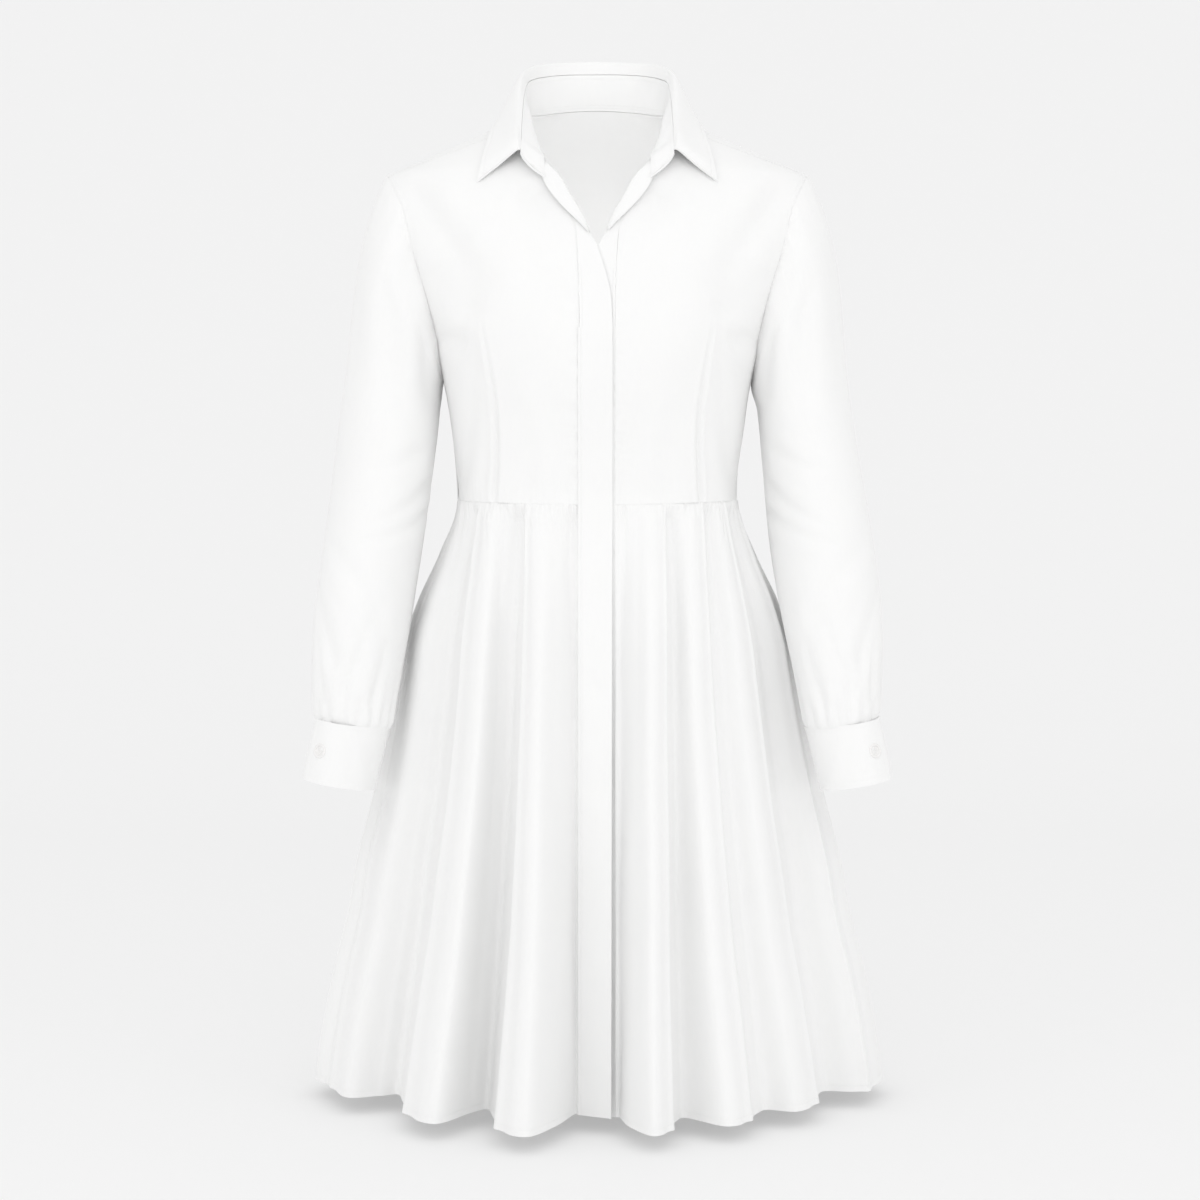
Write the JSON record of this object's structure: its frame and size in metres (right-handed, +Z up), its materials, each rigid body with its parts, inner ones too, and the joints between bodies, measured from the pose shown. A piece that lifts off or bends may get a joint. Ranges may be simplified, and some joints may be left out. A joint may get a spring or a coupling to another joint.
{
  "type": "shirt dress",
  "caption": "Long-sleeved shirt dress with a pointed collar worn open, covered front placket, darted bodice, waist seam and flared pleated skirt, filled out as if worn.",
  "frame": {"origin": "midway between the two points where the shoulders meet the neck, where the wearer's shoulders carry the dress", "axes": "+Z up, -Y towards the front, +X towards the wearer's left"},
  "size_m": [0.5544, 0.4315, 0.9912],
  "materials": {
    "poplin": "matte white plain-weave cotton",
    "button": "soft pearl gloss"
  },
  "bodies": {
    "root": {"front_right": "poplin", "front_left": "poplin", "back_bodice": "poplin", "sleeve_right": "poplin", "sleeve_left": "poplin", "cuff_right": "poplin", "cuff_left": "poplin", "collar_stand": "poplin", "collar_leaf": "poplin", "placket_upper": "poplin", "placket_under": "poplin", "skirt_front_right": "poplin", "skirt_front_left": "poplin", "skirt_back": "poplin", "cuff_button_right": "button", "cuff_button_left": "button"}
  },
  "joints": []
}
